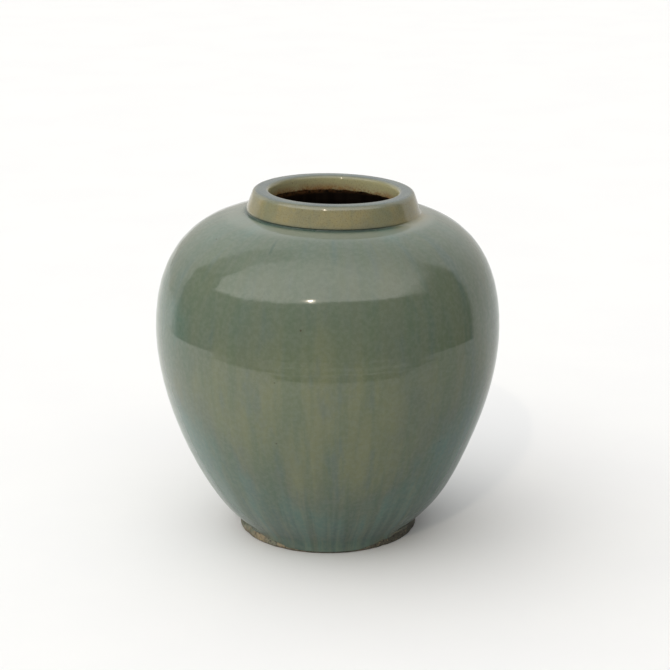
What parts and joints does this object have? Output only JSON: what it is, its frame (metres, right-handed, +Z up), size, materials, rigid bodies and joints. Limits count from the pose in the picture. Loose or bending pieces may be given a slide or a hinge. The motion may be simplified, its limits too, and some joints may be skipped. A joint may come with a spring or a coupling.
{
  "type": "open stoneware storage jar",
  "caption": "Wide-shouldered round stoneware jar with a thick flat-topped collar, a wide open mouth and a short foot ring, celadon glazed outside.",
  "frame": {"origin": "middle of the foot, on the ground, on the axis of the body", "axes": "+Z up along the body's axis; +X towards the side to which the neck leans"},
  "size_m": [0.3, 0.3, 0.3063],
  "materials": {
    "stoneware_clay": "bare fired stoneware, matt",
    "luting_slip": "fired slip, matt",
    "celadon_glaze": "grey-green celadon, gloss",
    "brown_liner_glaze": "dark iron brown, satin"
  },
  "bodies": {
    "root": {"foot_ring": "stoneware_clay", "foot_luting_slip": "luting_slip", "base_slab": "stoneware_clay", "base_luting_slip": "luting_slip", "lower_body": "stoneware_clay", "belly_luting_slip": "luting_slip", "upper_body": "stoneware_clay", "neck_luting_slip": "luting_slip", "neck_collar": "stoneware_clay", "celadon_glaze": "celadon_glaze", "brown_liner_glaze": "brown_liner_glaze"}
  },
  "joints": []
}
